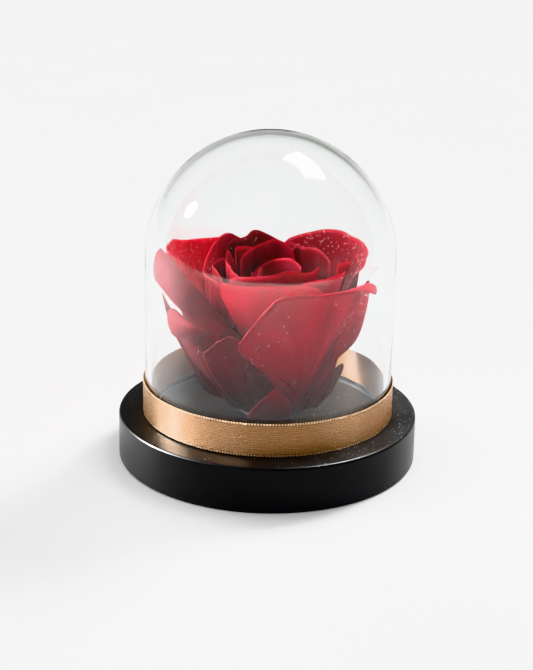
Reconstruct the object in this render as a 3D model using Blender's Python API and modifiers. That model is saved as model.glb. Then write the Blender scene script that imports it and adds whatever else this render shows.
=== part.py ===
"""Preserved rose under a glass dome, on a round black base with a gold ribbon.

Metres, +Z up. The origin is the centre of the base's underside, and -Y is the front.
"""

import math

import bpy
import numpy as np
from mathutils import Vector

MM = 0.001
CLEARANCE = 0.3 * MM

# Turned base, with a groove that the dome's rim stands in
BASE_DIAMETER = 90 * MM
BASE_HEIGHT = 14 * MM
BASE_EDGE_ROUND = 0.8 * MM
BASE_EDGE_STEPS = 2
BASE_STEPS = 36
GROOVE_INNER_RADIUS = 33.4 * MM
GROOVE_OUTER_RADIUS = 37.45 * MM
GROOVE_DEPTH = 2.2 * MM

# Blown glass dome
DOME_RADIUS = 37.1 * MM
DOME_WALL = 1.8 * MM
DOME_SPRING = 48.4 * MM
DOME_RINGS = 6
DOME_STEPS = 32

# Satin ribbon round the foot of the dome
RIBBON_WIDTH = 10 * MM
RIBBON_THICKNESS = 0.35 * MM
RIBBON_STEPS = 36

# The rose, in millimetres and in heights above the base. Its petals are nested cups, and the outermost cup runs
# from foot to rim as (height, radius). The petals' feet climb the receptacle in a line from the outermost to the
# heart, and the receptacle's surface lies RECEPTACLE_INSET inside that line.
OUTER_CUP = [(0.6, 11), (2.2, 16), (8, 19.9), (20, 26), (32, 30.3), (42, 32.4), (52, 33.4)]
CUP_AXIS_RADIUS = 0.9
CUP_SAMPLES = 120
OUTER_FOOT = (10.6, 0.9)
HEART_FOOT = (1.3, 9.2)
RECEPTACLE_INSET = 1.28
RECEPTACLE_TIP = 0.7
RECEPTACLE_CROWN = 0.3
RECEPTACLE_STEPS = 16
PETAL_THICKNESS = 0.45
PETAL_SPACING = 1.05
PETAL_ROOM = 34.6
LEAST_RADIUS = 0.45
BELLY = 3.2
FANNING = (0.7, 0.7)

BLACK = (0.012, 0.012, 0.013)
GOLD = (0.62, 0.36, 0.16)
CRIMSON = (0.42, 0.008, 0.018)
DRIED_GREEN = (0.05, 0.07, 0.02)
GLASS = (0.95, 0.97, 0.96)

# How a rim turns outward: the angle in degrees that each strip of it leans by
DRAPED = (75, 120, 150, 175)
FOLDED = (90, 155, 174, 180)
LIP = (50, 115)
STRIP_LEAST = 0.15

# The petals, from the outermost to the heart. foot is the azimuth of a petal's foot and half its width, in degrees
# from the front towards the right. rim runs round its free edge from left to right as (azimuth, height, radius).
# roll is how the rim turns outward, and how long the turned part is along it, as (share of the rim, length).
# fanning is how late the left and the right side widen, and bulge is how far the middle stands out.
PETALS = [
    {
        "name": "low_front_petal",
        "foot": (0, 14),
        "rim": [(-21, 3.6, 16.6), (-16, 6, 18.4), (-8, 9.6, 20.4), (0, 13.2, 22.2), (5.5, 15.8, 23.4),
                (10, 14.2, 22.6), (16, 11.4, 21.2), (21, 8, 19.4), (24, 3, 16.2)],
    },
    {
        "name": "front_right_petal",
        "foot": (22, 14),
        "fanning": (1.2, 3.9),
        "rim": [(25, 9, 20.6), (17, 15, 23), (8, 18.6, 24.3), (-5, 23, 25.5), (-14, 26, 26.5),
                (-17.5, 29.2, 27.8), (-12, 34, 29.3), (-2, 41.6, 31), (7, 46, 31.6), (26, 45.8, 31.5),
                (44, 45.6, 31.4), (55, 45.6, 31.5), (64, 44.8, 31)],
        "roll": (DRAPED, [(0.78, 0), (0.88, 1.6), (1, 5)]),
    },
    {
        "name": "slim_side_petal",
        "foot": (46, 8),
        "rim": [(38, 16, 23), (37.5, 24, 25.8), (39, 31, 27.8), (43, 35.2, 28.7), (44.8, 33.4, 28.9),
                (46, 30.4, 28.6), (47, 26.4, 27.4), (49.3, 21.8, 25.9), (51.6, 16, 23.6), (53, 10, 21)],
    },
    {
        "name": "side_right_petal",
        "foot": (88, 20),
        "rim": [(60, 5, 17.4), (68, 10, 20.6), (78, 13.6, 22.3), (90, 14.8, 22.6), (102, 12.6, 21.8),
                (112, 5, 17.6)],
    },
    {
        "name": "low_left_front_petal",
        "foot": (-32, 18),
        "rim": [(-41, 10, 19.6), (-45, 16, 22.8), (-47, 21.5, 25.6), (-48, 25.6, 27.8), (-44, 26.6, 27.9),
                (-41, 25.2, 27.7), (-36, 27, 27.9), (-30, 30, 28.4), (-24, 31.7, 28.8), (-18.5, 31, 28.7),
                (-15.5, 27, 27.4), (-14.5, 20, 24.8)],
        "roll": (LIP, [(0.2, 0), (0.3, 0.6), (0.6, 0.8), (0.85, 0.6), (0.95, 0)]),
    },
    {
        "name": "low_middle_petal",
        "foot": (2, 22),
        "rim": [(-24, 9, 19.6), (-22, 16, 22.8), (-19, 22, 25.4), (-14, 20.8, 24.8), (-7, 19.2, 24.2),
                (0, 18.2, 23.8), (4, 16.5, 23), (10, 14.2, 22), (16, 11.6, 20.8), (22, 7.6, 18.8),
                (27, 4, 16.4)],
    },
    {
        "name": "low_right_front_petal",
        "foot": (20, 24),
        "rim": [(-20, 17, 23), (-18, 22, 25.2), (-14.5, 25.8, 26.4), (-6, 26, 26), (8, 25, 25.6),
                (22, 23.5, 25.2), (36, 20, 24.4), (48, 12, 21), (54, 5, 17)],
    },
    {
        "name": "far_left_petal",
        "foot": (-98, 20),
        "rim": [(-118, 10, 20.4), (-112, 18, 25), (-104, 26, 28.8), (-98, 32, 31.3), (-94, 35.2, 32.3),
                (-91, 35.2, 32.2), (-89, 31, 30.9), (-87, 24, 27.9), (-83, 16, 24), (-78, 9, 20.4)],
    },
    {
        "name": "low_left_petal",
        "foot": (-60, 20),
        "rim": [(-81, 12, 21.6), (-80, 22, 25.6), (-79, 29.5, 28.6), (-76.5, 33.4, 29.4), (-70, 34.1, 28.8),
                (-61, 34, 28.5), (-52, 33.5, 28.5), (-44, 32.4, 28.5), (-38, 30.5, 28.2), (-34, 25, 26.6)],
        "roll": (FOLDED, [(0.28, 0), (0.36, 4), (0.45, 8), (0.56, 8.5), (0.67, 6), (0.78, 2.5), (0.9, 0)]),
    },
    {
        "name": "low_right_petal",
        "foot": (82, 26),
        "belly": 5.5,
        "bulge": 1.6,
        "rim": [(50, 14, 22.8), (49, 25, 27.4), (52, 32, 29.2), (60, 38, 29.4), (70, 41, 29.4), (82, 41.4, 29),
                (94, 40.6, 29.4), (106, 36.6, 29.8), (115, 28, 29), (120, 13, 23.4)],
    },
    {
        "name": "low_back_left_petal",
        "foot": (-152, 22),
        "rim": [(-180, 10, 20.4), (-178, 22, 26), (-171, 30, 29), (-158, 34, 30.2), (-145, 33, 29.8),
                (-134, 27, 28), (-129, 16, 23.6)],
        "roll": (LIP, [(0.1, 0), (0.3, 1.3), (0.7, 1.3), (0.9, 0)]),
    },
    {
        "name": "low_back_petal",
        "foot": (172, 22),
        "rim": [(150, 15, 22.8), (154, 27, 28), (166, 34, 30.2), (180, 35, 30.4), (192, 30, 29),
                (200, 20, 25.4), (200, 8, 19.4)],
        "roll": (LIP, [(0.1, 0), (0.3, 1.3), (0.6, 1.3), (0.8, 0)]),
    },
    {
        "name": "low_back_right_petal",
        "foot": (132, 22),
        "rim": [(110, 10, 20.4), (110, 22, 26), (116, 31, 29.4), (128, 36.5, 30.8), (141, 35, 30.4),
                (150, 27, 28), (153, 15, 23)],
        "roll": (LIP, [(0.1, 0), (0.3, 1.3), (0.7, 1.3), (0.9, 0)]),
    },
    {
        "name": "left_petal",
        "foot": (-62, 22),
        "rim": [(-92, 26, 27), (-92, 36, 29.8), (-91, 45.5, 31.8), (-88, 49.8, 32.3), (-82, 50.3, 31.6),
                (-70, 49.8, 30.1), (-56, 47.6, 29.6), (-44, 43.4, 29.2), (-36, 37.3, 28.4), (-28, 33, 27.3),
                (-20, 28.9, 25.9), (-17, 23, 24.2)],
        "roll": (DRAPED, [(0.3, 0), (0.38, 5), (0.46, 8.5), (0.56, 9.5),
                 (0.65, 9.5), (0.74, 8), (0.83, 6.5), (0.93, 2), (1, 0)]),
    },
    {
        "name": "back_petal",
        "foot": (184, 30),
        "rim": [(146, 22, 26), (146, 32, 29), (156, 39, 30.6), (170, 41.6, 31), (186, 42.6, 31.2),
                (202, 41.6, 31), (214, 37, 30), (220, 28, 28), (219, 20, 25.6)],
    },
    {
        "name": "back_left_petal",
        "foot": (-122, 30),
        "rim": [(-170, 28, 26.6), (-168, 38, 28.6), (-161, 44.5, 29.4), (-150, 46.2, 29.6), (-138, 46.8, 29.8),
                (-125, 47.7, 30), (-115, 48.8, 30.4), (-107, 50.1, 30.9), (-101, 49.9, 31.2), (-95, 49.2, 31.9),
                (-86, 47.4, 31.2), (-76, 44, 30.2), (-66, 39.5, 28.8), (-58, 33, 27)],
    },
    {
        "name": "back_right_petal",
        "foot": (110, 32),
        "rim": [(60, 38, 29.4), (64, 44, 29.6), (72, 46.6, 28.7), (82, 48.6, 28.3), (92, 49.6, 28.8),
                (104, 50.2, 29.6), (114, 50.4, 29.3), (124, 50.2, 29.6), (135, 50.5, 30), (146, 49.7, 30),
                (156, 48, 29.9), (163, 46.7, 29.8), (170, 44.8, 29.6), (174, 41, 29), (178, 30, 26.8)],
    },
    {
        "name": "front_petal",
        "foot": (-2, 22),
        "rim": [(-18, 23, 21.6), (-22, 28, 22.8), (-28.5, 34.7, 24.4), (-31.3, 41.5, 26.2), (-31.5, 45.4, 26.9),
                (-29, 47.3, 27.1), (-20, 47.2, 27.3), (-5, 47.4, 27.2), (10, 47.8, 27.2), (22, 47.3, 27.2),
                (32, 45.5, 27), (38, 43.5, 26.4), (44, 38, 25.4), (47, 29, 23.6)],
    },
    {
        "name": "right_petal",
        "foot": (62, 22),
        "rim": [(12, 36, 23.6), (15, 44, 24.8), (20, 46.7, 25.2), (27, 47.9, 25.4), (38, 48, 25.5),
                (48, 48.3, 25.8), (56, 48.3, 26.4), (58, 44, 26), (57, 37, 24.8), (54, 30, 23.4)],
    },
    {
        "name": "left_inner_petal",
        "foot": (-96, 32),
        "rim": [(-162, 34, 20.8), (-158, 45, 22), (-150, 48.4, 22.4), (-143, 49.3, 22.2), (-136, 49, 21.6),
                (-126, 47.8, 20.7), (-116, 46.6, 20), (-105, 45.2, 19.6), (-94, 43.9, 19.4), (-82, 43.4, 19.5),
                (-70, 43.8, 19.8), (-58, 44.4, 20.6), (-46, 44.7, 21.4), (-36, 43, 21.6), (-31, 36, 20.6)],
        "roll": (LIP, [(0.6, 0), (0.7, 0.9), (0.8, 1.1), (0.9, 0.8), (0.96, 0)]),
    },
    {
        "name": "right_inner_petal",
        "foot": (82, 28),
        "rim": [(47, 30, 20.6), (50, 40, 21.6), (57, 45.6, 21.8), (66, 47, 21), (75, 47.4, 20.5),
                (84, 47.4, 22.3), (91, 46.8, 24.8), (97, 45.4, 27), (104, 40, 27), (110, 31, 25)],
    },
    {
        "name": "back_inner_petal",
        "foot": (184, 28),
        "rim": [(138, 30, 20.6), (142, 39, 21.4), (152, 44.8, 22), (161, 46.2, 22), (170, 46.2, 22),
                (177, 47.4, 22), (184, 48.8, 22), (190, 49.8, 22.1), (195, 49.8, 22.2), (200, 48.6, 22.2),
                (206, 48, 22.1), (216, 47.8, 22.1), (225, 45, 21.8), (230, 37, 21)],
    },
    {
        "name": "front_inner_petal",
        "foot": (6, 26),
        "rim": [(-28, 34, 20.2), (-24, 42, 21.4), (-16, 45.2, 21.8), (-6, 46, 21.8), (6, 46, 21.6),
                (20, 45.6, 21.4), (34, 44.6, 21.4), (42, 37, 21)],
    },
    {
        "name": "pointed_petal",
        "foot": (-84, 20),
        "rim": [(-116, 38, 13), (-106, 45.6, 14), (-95, 46.3, 15.2), (-84, 45.7, 17), (-74, 45.5, 17),
                (-65, 45.2, 17), (-57, 44.6, 17.2), (-51, 42.6, 17.2), (-48, 36, 16.4)],
    },
    {
        "name": "front_swirl_petal",
        "foot": (4, 30),
        "rim": [(-52, 34, 15), (-48, 43, 16), (-40, 45.2, 16.6), (-33, 46, 17), (-20, 46.7, 17), (-7, 47.3, 17),
                (5, 47.9, 17), (14, 48.7, 17), (24, 48.4, 17), (34, 47.7, 17), (44, 47.4, 17), (55, 48, 17),
                (49, 45, 16.4), (44, 38, 15.8), (40, 30, 15)],
    },
    {
        "name": "right_swirl_petal",
        "foot": (116, 28),
        "rim": [(84, 34, 16.6), (88, 41, 17.4), (95, 45, 17.9), (104, 46.3, 18), (113, 47.2, 17.6),
                (123, 47.9, 17), (134, 47.8, 16.4), (144, 47.2, 16.2), (150, 48, 16.4), (157, 45, 16),
                (163, 36, 14.8)],
    },
    {
        "name": "back_left_swirl_petal",
        "foot": (-150, 22),
        "rim": [(-180, 34, 14.4), (-176, 42, 14.6), (-169, 46.4, 14.2), (-155, 47.1, 13.7), (-146, 47.7, 13.5),
                (-136, 48.1, 13.4), (-128, 48.4, 13.2), (-123, 47.4, 12.9), (-122, 43, 12.4), (-122, 34, 11.8)],
    },
    {
        "name": "left_swirl_petal",
        "foot": (-72, 26),
        "rim": [(-120, 36, 11.6), (-115, 45, 12.4), (-102, 48.9, 12.8), (-90, 48.5, 12.9), (-76, 47.7, 13.3),
                (-60, 47.1, 13.9), (-48, 46.4, 14.8), (-36, 45.6, 15.9), (-27, 43, 16), (-23, 35, 15)],
    },
    {
        "name": "long_swirl_petal",
        "foot": (-120, 36),
        "rim": [(-216, 36, 13.2), (-211, 44, 14.2), (-200, 47.4, 14.8), (-186, 49, 15), (-176, 48.6, 14.5),
                (-164, 48.2, 12.8), (-152, 47.7, 11.3), (-136, 47.2, 10.2), (-112, 46.6, 9.3), (-88, 45.6, 8.9),
                (-68, 44.2, 9.2), (-50, 41, 10.6), (-38, 35, 11.8)],
    },
    {
        "name": "low_heart_petal",
        "foot": (60, 34),
        "rim": [(-18, 31, 11.4), (-6, 40, 12.2), (30, 42, 12.8), (70, 42.2, 12.6), (106, 40, 12.2),
                (128, 31, 11)],
    },
    {
        "name": "heart_back_petal",
        "foot": (150, 34),
        "rim": [(44, 32, 7), (52, 39, 8), (66, 43, 8.6), (86, 44.5, 8.9), (106, 44.8, 8.8), (122, 45.4, 8.6),
                (135, 45.7, 8.4), (150, 45.4, 8.3), (171, 44.6, 8.2), (188, 43.9, 8), (202, 43, 7.8),
                (220, 41.6, 7.3), (238, 38.5, 6.8), (250, 32, 6.2)],
    },
    {
        "name": "heart_tip_petal",
        "foot": (-26, 14),
        "rim": [(-46, 32, 6.2), (-38, 40, 6.9), (-29, 44.6, 7.2), (-23, 46.6, 7.4), (-15, 45.6, 7.4),
                (-9, 40, 7), (-4, 32, 6.4)],
    },
    {
        "name": "heart_left_petal",
        "foot": (-100, 44),
        "rim": [(-170, 30, 4.8), (-155, 38, 5.2), (-120, 42, 5.5), (-80, 42.5, 5.5), (-45, 39, 5.2),
                (-30, 31, 4.8)],
    },
    {
        "name": "heart_right_petal",
        "foot": (80, 46),
        "rim": [(0, 30, 3.6), (20, 38, 4.1), (60, 43, 4.3), (100, 43.4, 4.3), (140, 39, 4.1), (158, 31, 3.6)],
    },
    {
        "name": "bud_petal",
        "foot": (-80, 30),
        "rim": [(-170, 30, 2.2), (-140, 37, 2.5), (-80, 41, 2.7), (-20, 41, 2.7), (30, 38, 2.5), (55, 30, 2.2)],
    },
]
OUTER_PETALS = 17
OUTER_ROWS = 5
INNER_ROWS = 3

# The room left for the petals: how far out the next one may reach, in cells of azimuth and of height
AZIMUTH_CELLS = 144
HEIGHT_CELLS = 120
CELL_HEIGHT = 0.5
STAMP_DETAIL = 24


def clear_scene():
    for obj in list(bpy.data.objects):
        bpy.data.objects.remove(obj, do_unlink=True)


def plain_material(name, colour, roughness, metallic=0.0, transmission=0.0):
    material = bpy.data.materials.new(name)
    material.use_nodes = True
    shader = material.node_tree.nodes["Principled BSDF"]
    shader.inputs["Base Color"].default_value = (*colour, 1)
    shader.inputs["Roughness"].default_value = roughness
    shader.inputs["Metallic"].default_value = metallic
    shader.inputs["Transmission Weight"].default_value = transmission
    return material


def new_mesh_object(name, points, edges, faces, material, collection):
    mesh = bpy.data.meshes.new(name)
    mesh.from_pydata(points, edges, faces)
    mesh.materials.append(material)
    obj = bpy.data.objects.new(name, mesh)
    collection.objects.link(obj)
    return obj


def turned(name, profile, steps, material, collection, ring=False):
    """A solid of revolution about Z, from a profile of (radius, height) that runs down its outer side."""
    points = [(radius, 0, height) for radius, height in profile]
    edges = [(i, i + 1) for i in range(len(points) - 1)]
    if ring:
        edges.append((len(points) - 1, 0))
    obj = new_mesh_object(name, points, edges, [], material, collection)
    screw = obj.modifiers.new("Turn", "SCREW")
    screw.axis = "Z"
    screw.steps = steps
    screw.render_steps = steps
    screw.use_merge_vertices = True
    screw.merge_threshold = 0.00001
    screw.use_smooth_shade = True
    return obj


def arc(centre, radius, start_deg, end_deg, count):
    """Points of an arc in the (radius, height) plane, from one angle to the other."""
    angles = [math.radians(start_deg + (end_deg - start_deg) * i / count) for i in range(count + 1)]
    return [(centre[0] + radius * math.cos(a), centre[1] + radius * math.sin(a)) for a in angles]


def make_base(collection, material):
    outer = BASE_DIAMETER / 2
    soft = BASE_EDGE_ROUND
    top = BASE_HEIGHT
    floor = top - GROOVE_DEPTH
    profile = [(0, top), (GROOVE_INNER_RADIUS, top), (GROOVE_INNER_RADIUS, floor)]
    profile += [(GROOVE_OUTER_RADIUS, floor), (GROOVE_OUTER_RADIUS, top)]
    profile += arc((outer - soft, top - soft), soft, 90, 0, BASE_EDGE_STEPS)
    profile += arc((outer - soft, soft), soft, 0, -90, BASE_EDGE_STEPS)
    profile.append((0, 0))
    return turned("base", profile, BASE_STEPS, material, collection)


def make_dome(collection, material):
    """A half sphere on a straight wall, open underneath, its rim standing in the groove."""
    spring = BASE_HEIGHT + DOME_SPRING
    rim = BASE_HEIGHT - GROOVE_DEPTH + CLEARANCE
    inner = DOME_RADIUS - DOME_WALL
    last = 90 - 90 / (DOME_RINGS + 1)
    outside = [(0, spring + DOME_RADIUS)] + arc((0, spring), DOME_RADIUS, last, 0, DOME_RINGS)
    inside = arc((0, spring), inner, 0, last, DOME_RINGS) + [(0, spring + inner)]
    outside.append((DOME_RADIUS, rim))
    inside.insert(0, (inner, rim))
    return turned("glass_dome", outside + inside, DOME_STEPS, material, collection)


def make_ribbon(collection, material):
    inner = DOME_RADIUS + CLEARANCE
    outer = inner + RIBBON_THICKNESS
    low = BASE_HEIGHT + CLEARANCE
    high = low + RIBBON_WIDTH
    profile = [(inner, high), (outer, high), (outer, low), (inner, low)]
    return turned("ribbon", profile, RIBBON_STEPS, material, collection, ring=True)


def make_receptacle(collection, material):
    """The cone that carries the petals' feet."""
    low = BASE_HEIGHT + CLEARANCE
    run = OUTER_FOOT[0] - HEART_FOOT[0]
    rise = HEART_FOOT[1] - OUTER_FOOT[1]
    inset = RECEPTACLE_INSET * math.hypot(run, rise) / rise
    wide = (OUTER_FOOT[0] - inset) * MM
    shoulder = BASE_HEIGHT + OUTER_FOOT[1] * MM
    narrow = RECEPTACLE_TIP * MM
    top = shoulder + (wide - narrow) * rise / run
    profile = [(0, top + RECEPTACLE_CROWN * MM), (narrow, top), (wide, shoulder), (wide, low), (0, low)]
    return turned("receptacle", profile, RECEPTACLE_STEPS, material, collection)


def smooth_curve(points, count):
    """A Catmull-Rom curve through the points, as count + 1 points evenly spaced in its parameter."""
    points = [np.array(p, dtype=float) for p in points]
    through = [2 * points[0] - points[1], *points, 2 * points[-1] - points[-2]]
    found = []
    for i in range(count + 1):
        at = (len(points) - 1) * i / count
        k = min(int(at), len(points) - 2)
        t = at - k
        a, b, c, d = through[k : k + 4]
        bend = (2 * a - 5 * b + 4 * c - d) * t**2 + (3 * b - a - 3 * c + d) * t**3
        found.append(0.5 * (2 * b + (c - a) * t + bend))
    return np.array(found)


CUP_CURVE = smooth_curve(OUTER_CUP, CUP_SAMPLES)


def cup_radius(layer, height):
    """Radius of a nested cup at a height: layer 0 is the rose's axis and 1 its outermost cup."""
    outer = np.interp(height, CUP_CURVE[:, 0], CUP_CURVE[:, 1])
    return CUP_AXIS_RADIUS + layer * (outer - CUP_AXIS_RADIUS)


def layer_of(radius, height):
    return (radius - CUP_AXIS_RADIUS) / (cup_radius(1, height) - CUP_AXIS_RADIUS)


def petal_cage(petal, share, rows):
    """Rows of (azimuth, height, radius) from a petal's foot to its rim. share runs from 1 outermost to 0."""
    foot_radius = HEART_FOOT[0] + (OUTER_FOOT[0] - HEART_FOOT[0]) * share
    foot_height = HEART_FOOT[1] + (OUTER_FOOT[1] - HEART_FOOT[1]) * share
    centre, half_width = petal["foot"]
    rim = np.array(petal["rim"], dtype=float)
    up = np.linspace(0, 1, rows + 1)[:, None]
    start = centre + half_width * np.linspace(-1, 1, len(rim))
    fanning = np.linspace(*petal.get("fanning", FANNING), len(rim))
    azimuth = start + (rim[:, 0] - start) * up**fanning
    height = foot_height + (rim[:, 1] - foot_height) * up
    foot_layer = layer_of(foot_radius, foot_height)
    layer = foot_layer + (layer_of(rim[:, 2], rim[:, 1]) - foot_layer) * (1 - (1 - up) ** petal.get("belly", BELLY))
    radius = cup_radius(layer, height) + petal.get("bulge", 0) * np.sin(math.pi * up)
    return np.stack([azimuth, height, radius], axis=-1)


def room_at(room, azimuth, height):
    """The room left at each point, read between the cells."""
    x = azimuth % 360 / 360 * AZIMUTH_CELLS
    y = np.clip(height / CELL_HEIGHT, 0, HEIGHT_CELLS - 1.001)
    i = x.astype(int)
    j = y.astype(int)
    left, right = room[i % AZIMUTH_CELLS], room[(i + 1) % AZIMUTH_CELLS]
    low = np.take_along_axis(left, j[..., None], -1) * (1 - (x - i))[..., None]
    low += np.take_along_axis(right, j[..., None], -1) * (x - i)[..., None]
    high = np.take_along_axis(left, j[..., None] + 1, -1) * (1 - (x - i))[..., None]
    high += np.take_along_axis(right, j[..., None] + 1, -1) * (x - i)[..., None]
    return (low * (1 - (y - j))[..., None] + high * (y - j)[..., None])[..., 0]


def refined(cage, detail):
    """The cage's flat faces sampled more finely."""
    for axis in (0, 1):
        count = cage.shape[axis] - 1
        at = np.linspace(0, count, count * detail + 1)
        k = np.minimum(at.astype(int), count - 1)
        t = (at - k).reshape((-1, 1, 1) if axis == 0 else (1, -1, 1))
        cage = np.take(cage, k, axis) * (1 - t) + np.take(cage, k + 1, axis) * t
    return cage


def take_room(room, cage):
    """Lowers the room to the inside of a petal that has been laid, and a little past its edges."""
    fine = refined(cage, STAMP_DETAIL).reshape(-1, 3)
    i = np.rint(fine[:, 0] % 360 / 360 * AZIMUTH_CELLS).astype(int) % AZIMUTH_CELLS
    j = np.rint(np.clip(fine[:, 1] / CELL_HEIGHT, 0, HEIGHT_CELLS - 1)).astype(int)
    taken = room.copy()
    np.minimum.at(taken, (i, j), fine[:, 2])
    spread = np.min([np.roll(taken, step, 0) for step in (-2, -1, 0, 1, 2)], axis=0)
    spread[:, 1:-1] = np.min([spread[:, :-2], spread[:, 1:-1], spread[:, 2:]], axis=0)
    softened = np.mean([np.roll(spread, step, 0) for step in (-1, 0, 1)], axis=0)
    return np.minimum(taken, softened)


def lay_petals():
    """Lays the petals from the outermost in, each one inside those already laid."""
    room = np.full((AZIMUTH_CELLS, HEIGHT_CELLS), PETAL_ROOM)
    cages = []
    for rank, petal in enumerate(PETALS):
        rows = OUTER_ROWS if rank < OUTER_PETALS else INNER_ROWS
        cage = petal_cage(petal, 1 - rank / (len(PETALS) - 1), rows)
        limit = room_at(room, cage[..., 0], cage[..., 1]) - PETAL_SPACING
        cage[..., 2] = np.clip(cage[..., 2], LEAST_RADIUS, limit)
        room = take_room(room, cage)
        cages.append(cage)
    return cages


def in_space(cage):
    """The cage's points in metres, as rows of vectors."""
    turn = np.radians(cage[..., 0])
    x = cage[..., 2] * np.sin(turn) * MM
    y = -cage[..., 2] * np.cos(turn) * MM
    z = BASE_HEIGHT + cage[..., 1] * MM
    return [[Vector(point) for point in row] for row in np.stack([x, y, z], axis=-1)]


def add_roll(rows, leans, profile):
    """Turns the rim outward in as many strips as there are leans."""
    rim, below = rows[-1], rows[-2]
    count = len(rim) - 1
    lengths = np.interp(np.linspace(0, 1, count + 1), *zip(*profile)) / len(leans)
    reached = rim
    for lean_deg in leans:
        row = []
        for i, point in enumerate(rim):
            along = (point - below[i]).normalized()
            across = (rim[min(i + 1, count)] - rim[max(i - 1, 0)]).normalized()
            out = across.cross(along).normalized()
            lean = math.radians(lean_deg)
            step = along * math.cos(lean) + out * math.sin(lean)
            row.append(reached[i] + step * max(lengths[i], STRIP_LEAST) * MM)
        rows.append(row)
        reached = row


def make_petal(petal, cage, collection, material):
    rows = in_space(cage)
    if "roll" in petal:
        add_roll(rows, *petal["roll"])
    width = len(rows[0])
    points = [point for row in rows for point in row]
    faces = [
        (i * width + j, i * width + j + 1, (i + 1) * width + j + 1, (i + 1) * width + j)
        for i in range(len(rows) - 1)
        for j in range(width - 1)
    ]
    obj = new_mesh_object(petal["name"], points, [], faces, material, collection)
    obj.data.shade_smooth()
    shell = obj.modifiers.new("Thickness", "SOLIDIFY")
    shell.thickness = PETAL_THICKNESS * MM
    shell.offset = 0
    return obj


def main():
    clear_scene()
    collection = bpy.data.collections.new("rose_in_glass_dome")
    bpy.context.scene.collection.children.link(collection)
    make_base(collection, plain_material("black lacquer", BLACK, 0.4))
    make_dome(collection, plain_material("clear glass", GLASS, 0.02, transmission=1))
    make_ribbon(collection, plain_material("gold satin", GOLD, 0.35, metallic=0.3))
    make_receptacle(collection, plain_material("dried green", DRIED_GREEN, 0.8))
    crimson = plain_material("crimson petal", CRIMSON, 0.6)
    for petal, cage in zip(PETALS, lay_petals()):
        make_petal(petal, cage, collection, crimson)


main()
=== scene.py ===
"""A preserved red rose under a small glass dome, on a round black base with a gold ribbon round the glass.

Metres, +Z up, and -Y is the front. Azimuths are degrees from the front towards the right.
"""

import math

import bpy
import numpy as np
from mathutils import Matrix, Vector, noise


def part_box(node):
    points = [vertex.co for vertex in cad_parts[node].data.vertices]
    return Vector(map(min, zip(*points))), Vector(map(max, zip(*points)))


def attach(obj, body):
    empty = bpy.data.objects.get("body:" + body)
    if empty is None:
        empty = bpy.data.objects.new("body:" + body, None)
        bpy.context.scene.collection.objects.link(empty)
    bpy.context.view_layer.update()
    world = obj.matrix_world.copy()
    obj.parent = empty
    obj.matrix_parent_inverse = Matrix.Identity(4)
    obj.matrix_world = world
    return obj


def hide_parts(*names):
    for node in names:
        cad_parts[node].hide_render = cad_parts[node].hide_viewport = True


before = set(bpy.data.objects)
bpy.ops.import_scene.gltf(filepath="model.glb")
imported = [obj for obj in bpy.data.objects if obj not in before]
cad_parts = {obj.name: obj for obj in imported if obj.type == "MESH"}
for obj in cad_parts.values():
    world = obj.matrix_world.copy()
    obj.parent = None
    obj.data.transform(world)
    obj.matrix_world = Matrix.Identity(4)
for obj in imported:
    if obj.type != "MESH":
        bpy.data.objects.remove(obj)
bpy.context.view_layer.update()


# The base: a disc turned from board, sprayed satin black, with a ring groove in its top for the dome's rim
# and a flat face underneath. Dust has settled on its top, more on the right, where a grey haze is painted
# sheen.
MM = 0.001
BASE_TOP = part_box("base")[1].z
BASE_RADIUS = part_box("base")[1].x
BASE_EDGE_ROUND = 0.8 * MM
BASE_STEPS = 192
GROOVE_INNER_RADIUS = 33.4 * MM
GROOVE_OUTER_RADIUS = 37.45 * MM
GROOVE_DEPTH = 2.2 * MM
GROOVE_LIP = 0.12 * MM
LACQUER_BLACK = (0.0055, 0.0055, 0.006, 1)
HAZE_AND_SHEEN_GREY = (0.12, 0.12, 0.12, 1)
DUST_GREY = (0.55, 0.54, 0.52, 1)
DUST_CELLS_A_METRE = 1500.0
DUSTED_SHARE = 0.16
DUST_AND_SHEEN_FROM_LEFT_TO_RIGHT = (0.3, 3.2)


def placed(name, data):
    """A new object in the scene."""
    piece = bpy.data.objects.new(name, data)
    bpy.context.scene.collection.objects.link(piece)
    return piece


def turned(name, profile, steps):
    """A smooth solid of revolution about Z, from (radius, height) points that run down its outer side."""
    mesh = bpy.data.meshes.new(name)
    edges = [(i, i + 1) for i in range(len(profile) - 1)]
    mesh.from_pydata([(radius, 0, height) for radius, height in profile], edges, [])
    piece = placed(name, mesh)
    screw = piece.modifiers.new("Turn", "SCREW")
    screw.steps = screw.render_steps = steps
    screw.use_merge_vertices = True
    screw.merge_threshold = 0.00001
    screw.use_smooth_shade = True
    return piece


def arc(centre, radius, start_deg, end_deg, count):
    """Points of an arc in the (radius, height) plane, from one angle to the other."""
    angles = [math.radians(start_deg + (end_deg - start_deg) * i / count) for i in range(count + 1)]
    return [(centre[0] + radius * math.cos(a), centre[1] + radius * math.sin(a)) for a in angles]


def fill(tree, made, inputs):
    """Gives a node's inputs plain values, or links them to other nodes' sockets."""
    for socket, value in inputs.items():
        if isinstance(value, bpy.types.NodeSocket):
            tree.links.new(value, made.inputs[socket])
        else:
            made.inputs[socket].default_value = value


def shader(tree, kind, inputs=None, **settings):
    """A shader node with its settings and its inputs."""
    made = tree.nodes.new("ShaderNode" + kind)
    for setting, value in settings.items():
        setattr(made, setting, value)
    fill(tree, made, inputs or {})
    return made


def object_place(tree):
    return shader(tree, "TexCoord").outputs["Object"]


def axis_of(tree, vector, axis):
    return shader(tree, "SeparateXYZ", {"Vector": vector}).outputs[axis]


def cloudy(tree, place, scale, detail=2.0, distortion=0.0):
    """Soft noise over a place, from 0 to 1."""
    inputs = {"Vector": place, "Scale": scale, "Detail": detail, "Distortion": distortion}
    return shader(tree, "TexNoise", inputs).outputs["Fac"]


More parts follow.
